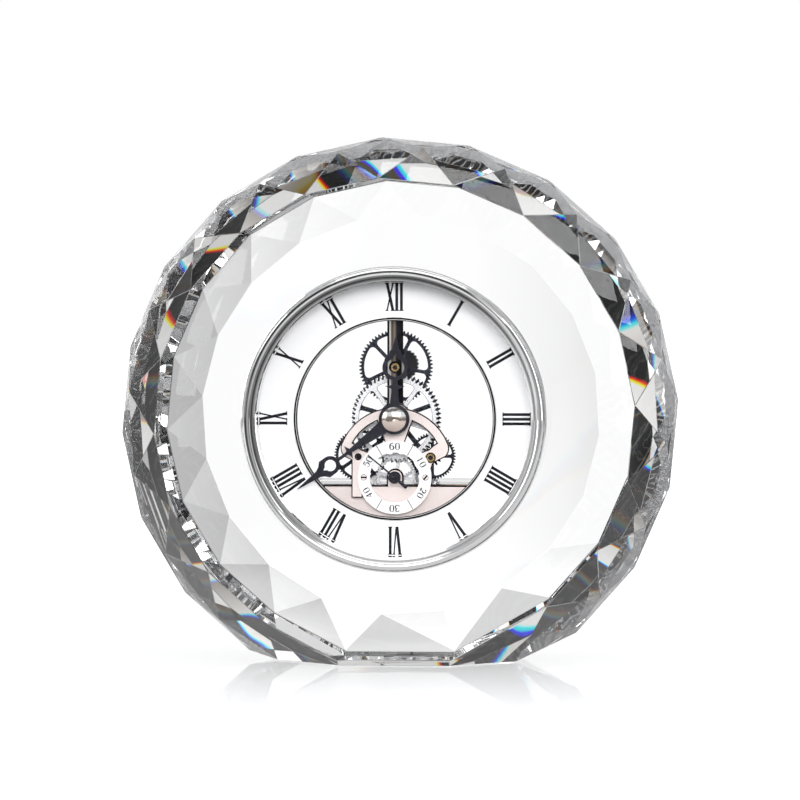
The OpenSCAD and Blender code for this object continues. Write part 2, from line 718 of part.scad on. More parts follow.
// Centre arbor with the minute hand's parts
module centre_arbor() color("silver")
    shaft(centre, centre_arbor_r, nut_level + nut_rim_t, back_plate_back + 0.2);
module centre_wheel() color("dimgray")
    wheel(centre, centre_wheel_level, wheel_t, centre_teeth, side_module, centre_phase,
          5, 20, 2.6, 1.3, 1.1, 0.8, centre_arbor_r);
module cannon_pinion() color("gainsboro") difference() {
    union() {
        shaft(centre, cannon_r, minute_hand_level, top_wheel_level - pinion_extra);
        at_dial(top_wheel_level - pinion_extra) linear_extrude(wheel_t + 2 * pinion_extra)
            gear_2d(cannon_teeth, cannon_module, cannon_phase);
    }
    shaft(centre, centre_arbor_r + 0.02, 10, -block_t);
}

// Pierced hand: hub, tapered blade, pointed crossbar, pierced ring and long tip. It points
// along +X. reach is the length, cross_at and ring_at are places along it
module hand_2d(reach, hub_r, hole_r, root_w, neck_w, cross_at, cross_w, ring_at, ring_r, ring_w, tip_w, barb) {
    hole = ring_r - ring_w;
    difference() {
        union() {
            circle(r = hub_r);
            polygon([[0, -root_w / 2], [cross_at, -neck_w / 2 - 0.1], [cross_at, neck_w / 2 + 0.1], [0, root_w / 2]]);
            translate([cross_at - 0.2, -neck_w / 2]) square([ring_at - cross_at, neck_w]);
            polygon([
                [cross_at - 0.9, 0], [cross_at - 0.25, -cross_w / 4], [cross_at + 0.35, -cross_w / 2],
                [cross_at + 0.45, -cross_w / 4], [cross_at + 0.9, 0], [cross_at + 0.45, cross_w / 4],
                [cross_at + 0.35, cross_w / 2], [cross_at - 0.25, cross_w / 4]
            ]);
            translate([ring_at, 0]) circle(r = ring_r);
            polygon([
                [ring_at, -ring_r], [ring_at + ring_r * 0.75, -ring_r * barb], [ring_at + ring_r * 1.15, -tip_w * 0.8],
                [ring_at + ring_r * 1.6, -tip_w / 2], [reach, -0.12], [reach, 0.12],
                [ring_at + ring_r * 1.6, tip_w / 2], [ring_at + ring_r * 1.15, tip_w * 0.8],
                [ring_at + ring_r * 0.75, ring_r * barb], [ring_at, ring_r]
            ]);
        }
        circle(r = hole_r);
        translate([ring_at, 0]) circle(r = hole);
        polygon([[ring_at, -hole * 0.9], [ring_at + hole * 1.5, 0], [ring_at, hole * 0.9]]);
    }
}

module minute_hand() color("black")
    at_dial(minute_hand_level) rotate(90 - minute_angle) linear_extrude(hand_t)
        hand_2d(minute_l, hand_hub_r, centre_arbor_r, 4.6, 0.9, 15.5, 4.4, 22.1, 2.65, 1.05, 2.0, 1.02);

module hour_hand() color("black")
    at_dial(hour_hand_level) rotate(90 - hour_angle) linear_extrude(hand_t) {
        hand_2d(hour_l, hand_hub_r, hour_pipe_r, 3.6, 1.5, 8.9, 5.8, 14.4, 3.6, 1.1, 1.7, 0.8);
        translate([18.6, 0]) for (s = [-1, 1]) translate([0, s * 0.85]) circle(r = 0.85);
    }

// Cap nut: a knurled rim under a polished dome, screwed to the end of the centre arbor
module hand_nut() color("silver") difference() {
    union() {
        at_dial(nut_level) linear_extrude(nut_rim_t)
            polygon([for (i = [0 : 2 * nut_knurls - 1])
                polar(nut_r - (i % 2 == 0 ? 0 : 0.16), i * 180 / nut_knurls)]);
        dome_r = ((nut_r - 0.3) * (nut_r - 0.3) + nut_dome * nut_dome) / (2 * nut_dome);
        at_dial(nut_level + nut_rim_t) intersection() {
            translate([0, 0, nut_dome - dome_r]) sphere(r = dome_r);
            cylinder(r = nut_r, h = nut_dome + 1);
        }
    }
    shaft(centre, centre_arbor_r, nut_level + nut_rim_t, nut_level - 1);
}

// Hour wheel with its pipe, which carries the hour hand round the cannon pinion
module hour_wheel() color("gainsboro") difference() {
    union() {
        wheel(centre, hour_wheel_level, wheel_t, hour_teeth, hour_module, hour_phase,
              5, 54, 3, 1.3, 1.2, 0.8, cannon_r + slide_gap);
        shaft(centre, hour_pipe_r, hour_hand_level + hand_t, hour_wheel_level);
    }
    shaft(centre, cannon_r + slide_gap, 10, -block_t);
}

// Top arbor: the minute wheel of the motion work, its pinion and the setting knob
module top_arbor() color("silver")
    pinion_arbor(top_at, frame_back - 0.1, knob_front - knob_l + 1, top_pinion_teeth, hour_module,
                 top_pinion_phase, hour_wheel_level, wheel_t);
module top_wheel() color("darkslategray")
    wheel(top_at, top_wheel_level, wheel_t, top_teeth, cannon_module, top_phase,
          5, 62, 2.4, 1.0, 0.75, 1.1, arbor_r);
module setting_knob() color("black") difference() {
    union() {
        at_dial(knob_front - knob_l, top_at) linear_extrude(knob_l)
            polygon([for (i = [0 : 3 * knob_flutes - 1])
                polar(knob_r - (i % 3 == 2 ? 0.4 : 0), i * 120 / knob_flutes)]);
    }
    shaft(top_at, arbor_r, 1, knob_front - knob_l + 1);
    at_dial(0, top_at) rotate_extrude() polygon([
        [knob_r - 0.5, knob_front - knob_l - 0.1], [knob_r + 1, knob_front - knob_l - 0.1],
        [knob_r + 1, knob_front - knob_l + 0.6]
    ]);
}

// Side wheels, each on a pinion that the centre wheel drives
module right_arbor() color("silver")
    pinion_arbor(right_at, bridge_front - 0.1, back_plate_back + 0.2, side_pinion_teeth, side_module,
                 right_pinion_phase, centre_wheel_level, wheel_t);
module right_wheel() color("darkslategray")
    wheel(right_at, side_wheel_level, wheel_t, right_teeth, right_module, right_phase,
          4, 0, 1.8, 0.9, 0.55, 0.6, arbor_r);
module left_arbor() color("silver")
    pinion_arbor(left_at, bridge_front - 0.4, back_plate_back + 0.2, side_pinion_teeth, side_module,
                 left_pinion_phase, centre_wheel_level, wheel_t);
module left_wheel() color("slategray")
    wheel(left_at, side_wheel_level, wheel_t, left_teeth, left_module, 0,
          4, 35, 1.8, 1.0, 0.65, 0.6, arbor_r);

module idler_pinion() color("gainsboro")
    at_dial(side_wheel_level - pinion_extra, idler_at) linear_extrude(wheel_t + 2 * pinion_extra)
        difference() {
            gear_2d(idler_teeth, right_module, idler_phase);
            circle(r = arbor_r + turn_gap);
        }

module lower_arbor() color("silver")
    pinion_arbor(lower_at, blind_front - 0.1, back_plate_back + 0.2, idler_teeth, right_module,
                 lower_pinion_phase, side_wheel_level, wheel_t);
module lower_wheel() color("gainsboro")
    wheel(lower_at, lower_wheel_level, wheel_t, lower_teeth, lower_module, lower_phase,
          4, 10, 1.6, 0.9, 0.6, 0.6, arbor_r);

// Seconds arbor, its wheel and its hand
module seconds_arbor() color("silver")
    pinion_arbor(seconds_at, seconds_hand_level + seconds_hand_t, back_plate_back + 0.2,
                 seconds_pinion_teeth, lower_module, seconds_pinion_phase, lower_wheel_level, wheel_t);
module seconds_wheel() color("gainsboro")
    wheel(seconds_at, seconds_wheel_level, seconds_wheel_t, seconds_teeth, seconds_module, seconds_phase,
          4, 80, 1.5, 0.9, 0.5, 0.5, arbor_r);
module seconds_hand() color("black")
    at_dial(seconds_hand_level, seconds_at) rotate(90 - seconds_angle) linear_extrude(seconds_hand_t)
        difference() {
            union() {
                circle(r = seconds_hub_r);
                polygon([[0, -0.3], [seconds_l, -0.14], [seconds_l, 0.14], [0, 0.3]]);
                translate([-4.5, -0.45]) square([4.5, 0.9]);
            }
            circle(r = arbor_r);
        }

// Motor side: the drive wheel and the rotor with its magnet
module drive_pinion() color("silver")
    pinion_arbor(drive_at, blind_front - 0.1, back_plate_back + 0.2, drive_pinion_teeth, seconds_module,
                 drive_pinion_phase, seconds_wheel_level, seconds_wheel_t);
module drive_wheel() color("gainsboro")
    wheel(drive_at, drive_wheel_level, seconds_wheel_t, drive_teeth, drive_module, drive_phase,
          4, 20, 1.4, 0.9, 0.5, 0.5, arbor_r);
module rotor_pinion() color("silver")
    pinion_arbor(rotor_at, blind_front - 0.1, back_plate_back + 0.2, rotor_teeth, drive_module,
                 rotor_phase, drive_wheel_level, seconds_wheel_t, rotor_shaft_r);
module rotor_magnet() color("dimgray")
    at_dial(magnet_front - magnet_l, rotor_at) difference() {
        cylinder(r = magnet_r, h = magnet_l);
        translate([0, 0, -1]) cylinder(r = rotor_shaft_r, h = magnet_l + 2);
    }

crystal_block();
bezel_ring();
front_lens();
lens_seal();
reflector_ring();
dial_plate();
dial_trim_ring();
movement_frame();
lower_plate();
upper_bar();
front_bridge();
seconds_dial();
seconds_dial_screws();
pillars();
pillar_screws();
back_plate();
rear_case();
fit_gasket();
top_bush();
right_bush();
seconds_bush();
idler_stud();
stator();
stator_posts();
coil_bobbin();
coil_winding();
circuit_board();
control_chip();
quartz_can();
cell_contacts();
battery_cell();
centre_arbor();
centre_wheel();
cannon_pinion();
minute_hand();
hand_nut();
hour_wheel();
hour_hand();
top_arbor();
top_wheel();
setting_knob();
right_arbor();
right_wheel();
left_arbor();
left_wheel();
idler_pinion();
lower_arbor();
lower_wheel();
seconds_arbor();
seconds_wheel();
seconds_hand();
drive_wheel();
drive_pinion();
rotor_magnet();
rotor_pinion();
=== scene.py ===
import math
import bmesh
import bpy
from mathutils import Matrix, Vector


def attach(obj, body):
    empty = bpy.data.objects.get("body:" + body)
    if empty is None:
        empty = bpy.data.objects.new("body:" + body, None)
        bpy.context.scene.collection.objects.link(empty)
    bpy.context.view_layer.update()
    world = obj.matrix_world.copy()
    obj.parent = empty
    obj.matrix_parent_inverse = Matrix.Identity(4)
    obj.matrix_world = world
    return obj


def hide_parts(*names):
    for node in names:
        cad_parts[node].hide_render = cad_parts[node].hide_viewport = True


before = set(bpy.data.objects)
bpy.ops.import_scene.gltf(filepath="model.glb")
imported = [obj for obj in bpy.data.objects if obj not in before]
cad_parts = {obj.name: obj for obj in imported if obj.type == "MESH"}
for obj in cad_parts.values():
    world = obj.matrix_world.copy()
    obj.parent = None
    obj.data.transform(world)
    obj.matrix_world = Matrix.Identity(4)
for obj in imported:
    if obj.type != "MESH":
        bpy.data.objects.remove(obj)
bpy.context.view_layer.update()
scene = bpy.context.scene

# Studio: a white table that mirrors faintly, in a white room with dark flags and narrow strips of
# light at its sides, which the facets of the block break up. The camera stands a metre away, a
# little to the right and a little above.
scene.view_settings.view_transform = "Standard"
scene.cycles.max_bounces = 24
scene.cycles.transmission_bounces = 24
scene.cycles.glossy_bounces = 12
scene.cycles.transparent_max_bounces = 24

camera_azimuth = math.radians(4)
camera_elevation = math.radians(2)
camera_distance = 1.0
camera_aim = Vector((0.0019, -0.0211, 0.0743))
sensor_width = 36
view_width = 0.2226
camera_data = bpy.data.cameras.new("camera")
camera_data.lens = sensor_width / view_width * camera_distance
camera_data.clip_start = 0.01
camera = bpy.data.objects.new("camera", camera_data)
scene.collection.objects.link(camera)
camera.location = camera_aim + camera_distance * Vector((
    math.sin(camera_azimuth) * math.cos(camera_elevation),
    -math.cos(camera_azimuth) * math.cos(camera_elevation),
    math.sin(camera_elevation),
))
camera.rotation_euler = (camera_aim - camera.location).to_track_quat("-Z", "Y").to_euler()
scene.camera = camera

world = bpy.data.worlds.new("room")
scene.world = world
world.use_nodes = True


def arithmetic(tree, operation, first, second):
    """One step of arithmetic between sockets or numbers."""
    step = tree.nodes.new("ShaderNodeMath")
    step.operation = operation
    for socket, value in zip(step.inputs, (first, second)):
        if isinstance(value, (int, float)):
            socket.default_value = value
        else:
            tree.links.new(value, socket)
    return step.outputs[0]


def graded(tree, value, low, high, stops):
    """A row of colours or greys along value, each stop at its own reading between low and high."""
    ramp = tree.nodes.new("ShaderNodeValToRGB")
    elements = ramp.color_ramp.elements
    while len(elements) < len(stops):
        elements.new(0.5)
    for element, (reading, colour) in zip(elements, stops):
        element.position = (reading - low) / (high - low)
        if isinstance(colour, (int, float)):
            colour = (colour, colour, colour)
        element.color = (*colour, 1)
    place = tree.nodes.new("ShaderNodeMapRange")
    place.inputs["From Min"].default_value = low
    place.inputs["From Max"].default_value = high
    tree.links.new(value, place.inputs["Value"])
    tree.links.new(place.outputs[0], ramp.inputs["Fac"])
    return ramp.outputs["Color"]


def blended(tree, amount, first, second, kind="MIX"):
    """Two colours put together by an amount."""
    mix = tree.nodes.new("ShaderNodeMix")
    mix.data_type = "RGBA"
    mix.blend_type = kind
    for socket, value in ((mix.inputs["Factor"], amount), (mix.inputs["A"], first),
                          (mix.inputs["B"], second)):
        if isinstance(value, (int, float)):
            socket.default_value = value
        elif isinstance(value, tuple):
            socket.default_value = (*value, 1)
        else:
            tree.links.new(value, socket)
    return mix.outputs["Result"]


def as_light(stops):
    """Turns stops from tones, as the eye reads them between 0 and 1, into strengths of light."""
    eye = 2.2
    lights = []
    for reading, tone in stops:
        if isinstance(tone, tuple):
            lights.append((reading, tuple(part ** eye for part in tone)))
        else:
            lights.append((reading, tone ** eye))
    return tuple(lights)


def room_through_glass(tree, toward):
    """What glass sees of the room: white straight behind, then dark flags and narrow strips of
    light on both sides with wavy edges, fringed with colour as cut glass shows them."""
    # Tones by bearing, in degrees to the right of straight behind
    middle_tones = (
        (-180, 0.62), (-120, 0.75), (-85, 0.72), (-60, 0.55), (-16, 0.80), (-12, 1.02), (-2.6, 1.035),
        (-0.9, 0.96), (-0.3, 0.89), (0.5, 0.84), (1.0, 0.79), (1.6, 0.76), (2.2, 0.73), (6, 0.58),
        (60, 0.62), (80, 0.78),
    )
    # How much of the flags and strips shows at a bearing, with a gap between them at the right
    side_shares = ((-20, 1), (-12, 0), (5, 0), (12, 0.88), (60, 0.88))
    gap_shares = ((68, 1), (76, 0), (108, 0), (114, 1))
    # Rows of strips: the pitch in degrees, and the tones across one pitch
    strip_tones = (
        (9.0, ((0, 0.03), (0.4, 0.20), (0.405, 0.02), (0.59, 0.07), (0.595, 1.0), (0.79, 0.92),
               (0.795, 0.03), (1, 0.03))),
        (14.3, ((0, 0.04), (0.3, 0.03), (0.305, 0.95), (0.42, 0.5), (0.425, 0.03), (0.8, 0.16),
                (0.805, 0.02), (1, 0.03))),
        (2.9, ((0, 0.03), (0.42, 0.06), (0.45, 0.36), (0.5, 0.30), (0.53, 0.04), (1, 0.03))),
    )
    # Tones by the slope of the way seen, from straight down at -1 to straight up at 1
    slope_tones = (
        (-1, 0.9), (-0.45, 0.9), (-0.24, 0.95), (-0.13, 1.0), (0.036, 1.0), (0.046, 0.83),
        (0.10, 0.80), (0.3, 0.9), (0.62, 0.85), (0.68, 1.1), (1, 1.1),
    )
    sway_of_steep = 31.0
    sway_of_height = 80.0
    fringe_width = 0.07
    ways = tree.nodes.new("ShaderNodeSeparateXYZ")
    tree.links.new(toward, ways.inputs[0])
    bearing = arithmetic(tree, "MULTIPLY", 180 / math.pi,
                         arithmetic(tree, "ARCTAN2", ways.outputs["X"], ways.outputs["Y"]))
    middle = graded(tree, bearing, -180, 180, as_light(middle_tones))
    steep = graded(tree, arithmetic(tree, "ABSOLUTE", ways.outputs["Z"], 0), 0, 1, ((0.2, 0), (0.42, 1)))
    side = arithmetic(tree, "MAXIMUM", steep, graded(tree, bearing, -180, 180, side_shares))
    side = arithmetic(tree, "MULTIPLY", side, graded(tree, bearing, -180, 180, gap_shares))
    sway = arithmetic(tree, "ADD", arithmetic(tree, "MULTIPLY", steep, sway_of_steep),
                      arithmetic(tree, "MULTIPLY", ways.outputs["Z"], sway_of_height))
    for scale, reach in ((8, 12.0), (22, 4.0), (60, 1.0)):
        waves = tree.nodes.new("ShaderNodeTexNoise")
        waves.inputs["Scale"].default_value = scale
        waves.inputs["Detail"].default_value = 1
        tree.links.new(toward, waves.inputs["Vector"])
        wave = arithmetic(tree, "SUBTRACT", waves.outputs["Fac"], 0.5)
        sway = arithmetic(tree, "ADD", sway, arithmetic(tree, "MULTIPLY", wave, reach))
    fringed = tree.nodes.new("ShaderNodeCombineColor")
    for socket, fringe in zip(fringed.inputs, (-fringe_width, 0.0, fringe_width)):
        swayed = arithmetic(tree, "ADD", arithmetic(tree, "ADD", bearing, sway), fringe)
        strips = []
        for pitch, tones in strip_tones:
            turn = arithmetic(tree, "FRACT", arithmetic(tree, "DIVIDE", swayed, pitch), 0)
            strips.append(graded(tree, turn, 0, 1, as_light(tones)))
        brightest = strips[0]
        for strip in strips[1:]:
            brightest = arithmetic(tree, "MAXIMUM", brightest, strip)
        tree.links.new(brightest, socket)
    slope = graded(tree, ways.outputs["Z"], -1, 1, as_light(slope_tones))
    return blended(tree, 1.0, blended(tree, side, middle, fringed.outputs[0]), slope, "MULTIPLY")


room = world.node_tree
direction = room.nodes.new("ShaderNodeTexCoord")
room_axes = room.nodes.new("ShaderNodeSeparateXYZ")
room.links.new(direction.outputs["Generated"], room_axes.inputs[0])
room_path = room.nodes.new("ShaderNodeLightPath")
room_grey = (0.55, 0.56, 0.58)
off_metal = graded(room, room_axes.outputs["Y"], -1, 1, (
    (-1, 0.12), (-0.75, 0.16), (-0.55, 0.6), (-0.3, 0.22), (0.1, 0.30), (0.3, 0.14), (0.62, 0.22),
    (0.85, 0.75), (1, 1.0),
))
seen = blended(room, room_path.outputs["Is Glossy Ray"], room_grey, off_metal)
seen = blended(room, room_path.outputs["Is Transmission Ray"], seen,
               room_through_glass(room, direction.outputs["Generated"]))
seen = blended(room, room_path.outputs["Is Camera Ray"], seen, (1.0, 1.0, 1.0))
room.links.new(seen, room.nodes["Background"].inputs["Color"])

lamp_aim = Vector((0, 0, 0.07))
for name, place, width, height, power in (
    ("lamp_left", (-1.1, -0.9, 0.5), 0.6, 1.0, 5),
    ("lamp_right", (1.1, -0.7, 0.45), 0.5, 1.0, 5),
    ("lamp_top", (0, -0.3, 1.2), 1.2, 0.8, 4),
    ("lamp_front", (0.2, -1.6, 0.6), 1.0, 0.6, 10),
):
    lamp_data = bpy.data.lights.new(name, "AREA")
    lamp_data.shape = "RECTANGLE"
    lamp_data.size = width
    lamp_data.size_y = height
    lamp_data.energy = power
    lamp = bpy.data.objects.new(name, lamp_data)
    scene.collection.objects.link(lamp)
    lamp.location = place
    lamp.rotation_euler = (lamp_aim - Vector(place)).to_track_quat("-Z", "Y").to_euler()

# Table: painted white for the lamps and lit up for the camera, with a faint mirror near the block.
# In metal it shows bright in front and dark behind, and glass looks past it into the room.
table_size = (2.4, 9.5)
table_middle = 3.95
table_top = -0.0002
table_mesh = bpy.data.meshes.new("table")
form = bmesh.new()
bmesh.ops.create_grid(form, x_segments=1, y_segments=1, size=0.5)
bmesh.ops.scale(form, vec=(*table_size, 1), verts=form.verts)
bmesh.ops.translate(form, vec=(0, table_middle, table_top), verts=form.verts)
form.to_mesh(table_mesh)
form.free()
table = bpy.data.objects.new("table", table_mesh)
scene.collection.objects.link(table)


def chosen(tree, amount, first, second):
    """One shader or another, by an amount."""
    choice = tree.nodes.new("ShaderNodeMixShader")
    for socket, value in zip(choice.inputs, (amount, first, second)):
        tree.links.new(value, socket)
    return choice.outputs[0]


table_white = bpy.data.materials.new("table_white")
table_white.use_nodes = True
table_mesh.materials.append(table_white)
table_tree = table_white.node_tree
painted = table_tree.nodes["Principled BSDF"]
painted.inputs["Base Color"].default_value = (0.8, 0.8, 0.8, 1)
painted.inputs["Roughness"].default_value = 0.5
painted.inputs["Specular IOR Level"].default_value = 0.0
table_path = table_tree.nodes.new("ShaderNodeLightPath")
table_place = table_tree.nodes.new("ShaderNodeTexCoord")
table_axes = table_tree.nodes.new("ShaderNodeSeparateXYZ")
table_tree.links.new(table_place.outputs["Object"], table_axes.inputs[0])
from_block = table_tree.nodes.new("ShaderNodeVectorMath")
from_block.operation = "LENGTH"
table_tree.links.new(table_place.outputs["Object"], from_block.inputs[0])
glow = table_tree.nodes.new("ShaderNodeEmission")
table_tree.links.new(graded(table_tree, from_block.outputs["Value"], 0, 1, ((0.1, 0.45), (0.9, 1.0))),
                     glow.inputs["Color"])
table_tree.links.new(table_path.outputs["Is Camera Ray"], glow.inputs["Strength"])
white = table_tree.nodes.new("ShaderNodeAddShader")
table_tree.links.new(painted.outputs[0], white.inputs[0])
table_tree.links.new(glow.outputs[0], white.inputs[1])
mirror = table_tree.nodes.new("ShaderNodeBsdfGlossy")
mirror.inputs["Roughness"].default_value = 0.03
mirror_share = graded(table_tree, table_axes.outputs["Y"], -0.4, 0.4, (
    (-0.28, 0.04), (-0.12, 0.24), (-0.024, 0.55), (0.04, 0.45), (0.12, 0.12), (0.3, 0.03)))
slant = table_tree.nodes.new("ShaderNodeLayerWeight")
slant.inputs["Blend"].default_value = 0.5
in_metal = table_tree.nodes.new("ShaderNodeEmission")
table_tree.links.new(graded(table_tree, table_axes.outputs["Y"], -1, 1, (
    (-0.6, 0.10), (-0.3, 0.9), (-0.1, 1.0), (0.03, 1.0), (0.15, 0.25))), in_metal.inputs["Color"])
in_glass = table_tree.nodes.new("ShaderNodeBsdfTransparent")
polish = arithmetic(table_tree, "MULTIPLY", mirror_share, slant.outputs["Facing"])
surface = chosen(table_tree, polish, white.outputs[0], mirror.outputs[0])
surface = chosen(table_tree, table_path.outputs["Is Glossy Ray"], surface, in_metal.outputs[0])
surface = chosen(table_tree, table_path.outputs["Is Transmission Ray"], surface, in_glass.outputs[0])
table_tree.links.new(surface, table_tree.nodes["Material Output"].inputs["Surface"])

# Crystal block: optical glass, sawn, ground and polished to flat facets, with a hole bored
# through it for the clock insert. It stands on its own ground base.
MM = 0.001


def new_material(name, colour=(0.8, 0.8, 0.8), metallic=0.0):
    """A material with one principled shader to build on."""
    material = bpy.data.materials.new(name)
    material.use_nodes = True
    shader = material.node_tree.nodes["Principled BSDF"]
    shader.inputs["Base Color"].default_value = (*colour, 1)
    shader.inputs["Metallic"].default_value = metallic
    return material


def see_through(material, ior, shade):
    """Clear and bending light, and it lets the lamps reach what is behind it."""
    tree = material.node_tree
    shader = tree.nodes["Principled BSDF"]
    shader.inputs["Transmission Weight"].default_value = 1
    shader.inputs["IOR"].default_value = ior
    path = tree.nodes.new("ShaderNodeLightPath")
    clear = tree.nodes.new("ShaderNodeBsdfTransparent")
    clear.inputs["Color"].default_value = (*shade, 1)
    surface = chosen(tree, path.outputs["Is Shadow Ray"], shader.outputs[0], clear.outputs[0])
    tree.links.new(surface, tree.nodes["Material Output"].inputs["Surface"])


def object_place(tree, centre=(0, 0, 0), stretch=(1, 1, 1)):
    """The object's own coordinates about a centre, drawn out or squeezed along each axis."""
    where = tree.nodes.new("ShaderNodeTexCoord")
    mapping = tree.nodes.new("ShaderNodeMapping")
    mapping.vector_type = "TEXTURE"
    mapping.inputs["Location"].default_value = centre
    mapping.inputs["Scale"].default_value = stretch
    tree.links.new(where.outputs["Object"], mapping.inputs["Vector"])
    return mapping.outputs[0]


def cloudy(tree, size, detail=3, stretch=(1, 1, 1)):
    """Soft noise with spots about size across, in metres."""
    noise = tree.nodes.new("ShaderNodeTexNoise")
    noise.inputs["Scale"].default_value = 1 / size
    noise.inputs["Detail"].default_value = detail
    tree.links.new(object_place(tree, stretch=stretch), noise.inputs["Vector"])
    return noise.outputs["Fac"]


def worked(material, pattern, colours, roughness, bump=None):
    """Lets a pattern vary a material's colour and roughness, and raise its surface by metres."""
    tree = material.node_tree
    shader = tree.nodes["Principled BSDF"]
    if colours:
        tree.links.new(blended(tree, pattern, *colours), shader.inputs["Base Color"])
    spread = tree.nodes.new("ShaderNodeMapRange")
    spread.inputs["To Min"].default_value = roughness[0]
    spread.inputs["To Max"].default_value = roughness[1]
    tree.links.new(pattern, spread.inputs["Value"])
    tree.links.new(spread.outputs[0], shader.inputs["Roughness"])
    if bump:
        raised = tree.nodes.new("ShaderNodeBump")
        raised.inputs["Distance"].default_value = bump
        tree.links.new(pattern, raised.inputs["Height"])
        tree.links.new(raised.outputs[0], shader.inputs["Normal"])


def finish_node(node, material):
    """Gives a CAD node's own mesh a finish."""
    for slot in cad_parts[node].material_slots:
        slot.material = material


def bevelled(node, width, segments, face_material, edge_material, body, least_angle=40):
    """Puts a copy of a CAD node in its place, with its sharp edges broken and finished apart."""
    same_point = 0.001 * MM
    flat_angle = math.radians(0.5)
    form = bmesh.new()
    form.from_mesh(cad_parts[node].data)
    bmesh.ops.remove_doubles(form, verts=form.verts, dist=same_point)
    bmesh.ops.dissolve_limit(form, angle_limit=flat_angle, verts=form.verts, edges=form.edges)
    sharp = [edge for edge in form.edges if len(edge.link_faces) == 2
             and edge.calc_face_angle() > math.radians(least_angle)]
    broken = bmesh.ops.bevel(form, geom=sharp, offset=width, segments=segments, profile=0.5,
                             affect="EDGES", clamp_overlap=False, material=-1)
    for face in broken["faces"]:
        face.material_index = 1
    mesh = bpy.data.meshes.new(node + "_polished")
    form.to_mesh(mesh)
    form.free()
    mesh.materials.append(face_material)
    mesh.materials.append(edge_material)
    piece = bpy.data.objects.new(node + "_polished", mesh)
    scene.collection.objects.link(piece)
    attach(piece, body)
    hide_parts(node)


crystal_ior = 1.52
crystal_shade = (0.93, 0.93, 0.94)
facet_angle = 9
crystal_glass = new_material("crystal_glass")
see_through(crystal_glass, crystal_ior, crystal_shade)
worked(crystal_glass, cloudy(crystal_glass.node_tree, 20 * MM), ((0.985, 0.99, 0.99), (1.0, 1.0, 1.0)),
       (0.0, 0.004))
broken_edge = new_material("broken_edge", (1.0, 1.0, 1.0))
see_through(broken_edge, crystal_ior, crystal_shade)
worked(broken_edge, cloudy(broken_edge.node_tree, 2 * MM), None, (0.05, 0.2))
bevelled("crystal_block", 0.16 * MM, 1, crystal_glass, broken_edge, "clock_body", facet_angle)

# Rear case and back plate of the insert: moulded styrene, clear where light comes through the
# open dial and grey in the outer wall. A soft clear band round the case holds it in the hole of
# the block.
dial_centre = Vector((0, 0, 68.8)) * MM
case_ior = 1.04
case_shade = (0.97, 0.97, 0.97)
clear_styrene = new_material("clear_styrene")
see_through(clear_styrene, case_ior, case_shade)
worked(clear_styrene, cloudy(clear_styrene.node_tree, 6 * MM), ((0.985, 0.985, 0.99), (1.0, 1.0, 1.0)),
       (0.0, 0.02))
finish_node("back_plate", clear_styrene)
case_styrene = new_material("case_styrene")
see_through(case_styrene, case_ior, case_shade)
case_tree = case_styrene.node_tree
case_shader = case_tree.nodes["Principled BSDF"]


def from_axis(tree):
    """How far a point lies from the dial's axis, in millimetres."""
    flat = tree.nodes.new("ShaderNodeVectorMath")
    flat.operation = "MULTIPLY"
    flat.inputs[1].default_value = (1, 0, 1)
    reach = tree.nodes.new("ShaderNodeVectorMath")
    reach.operation = "LENGTH"
    tree.links.new(object_place(tree, dial_centre, (MM, MM, MM)), flat.inputs[0])
    tree.links.new(flat.outputs[0], reach.inputs[0])
    return reach.outputs["Value"]


clear_share = graded(case_tree, from_axis(case_tree), 0, 50, ((35.5, 1.0), (37.5, 0.45)))
case_grain = cloudy(case_tree, 4 * MM)
wall_grey = blended(case_tree, case_grain, (0.20, 0.20, 0.21), (0.32, 0.32, 0.33))
case_tree.links.new(blended(case_tree, clear_share, wall_grey, (1.0, 1.0, 1.0)),
                    case_shader.inputs["Base Color"])
case_tree.links.new(clear_share, case_shader.inputs["Transmission Weight"])
worked(case_styrene, case_grain, None, (0.0, 0.02))
finish_node("rear_case", case_styrene)
clear_band = new_material("clear_band")
see_through(clear_band, 1.2, (0.9, 0.9, 0.9))
worked(clear_band, cloudy(clear_band.node_tree, 3 * MM), ((0.93, 0.94, 0.95), (0.98, 0.98, 0.99)),
       (0.02, 0.12))
finish_node("fit_gasket", clear_band)

# Movement frame, lower plate, upper bar and bridge: pressed brass, plated. The plates have a
# pinkish satin face and a polished dark edge; the bar is polished with a dark edge, its face painted with
# reflections in light and dark bands that change along X.
rose_satin = new_material("rose_satin", metallic=0.35)
worked(rose_satin, cloudy(rose_satin.node_tree, 0.12 * MM, 4, stretch=(12, 1, 1)),
       ((0.74, 0.64, 0.62), (0.88, 0.79, 0.77)), (0.28, 0.46), 0.004 * MM)
dark_edge = new_material("dark_edge", metallic=1.0)
worked(dark_edge, cloudy(dark_edge.node_tree, 0.6 * MM), ((0.015, 0.013, 0.014), (0.04, 0.036, 0.038)),
       (0.1, 0.2))
bevelled("front_bridge", 0.34 * MM, 2, rose_satin, dark_edge, "clock_body")
bevelled("lower_plate", 0.45 * MM, 2, rose_satin, dark_edge, "clock_body")
bar_polish = new_material("bar_polish", metallic=0.5)
bar_tree = bar_polish.node_tree
bar_axes = bar_tree.nodes.new("ShaderNodeSeparateXYZ")
bar_tree.links.new(object_place(bar_tree, (0, 0, 0), (MM, MM, MM)), bar_axes.inputs[0])
# Painted reflections: light and dark bands that change along the bar's X, standing in for the room mirrored
# in its polish
bar_painted_reflections = graded(bar_tree, bar_axes.outputs["X"], -2.2, 2.2, as_light((
    (-2.2, (0.12, 0.12, 0.13)), (-1.9, (0.95, 0.94, 0.93)), (-1.2, (0.88, 0.86, 0.85)),
    (-1.0, (0.30, 0.27, 0.25)), (-0.1, (0.62, 0.56, 0.50)), (0.3, (0.22, 0.22, 0.26)),
    (1.0, (0.08, 0.08, 0.09)), (1.8, (0.14, 0.14, 0.16)), (2.0, (0.75, 0.74, 0.74)),
)))
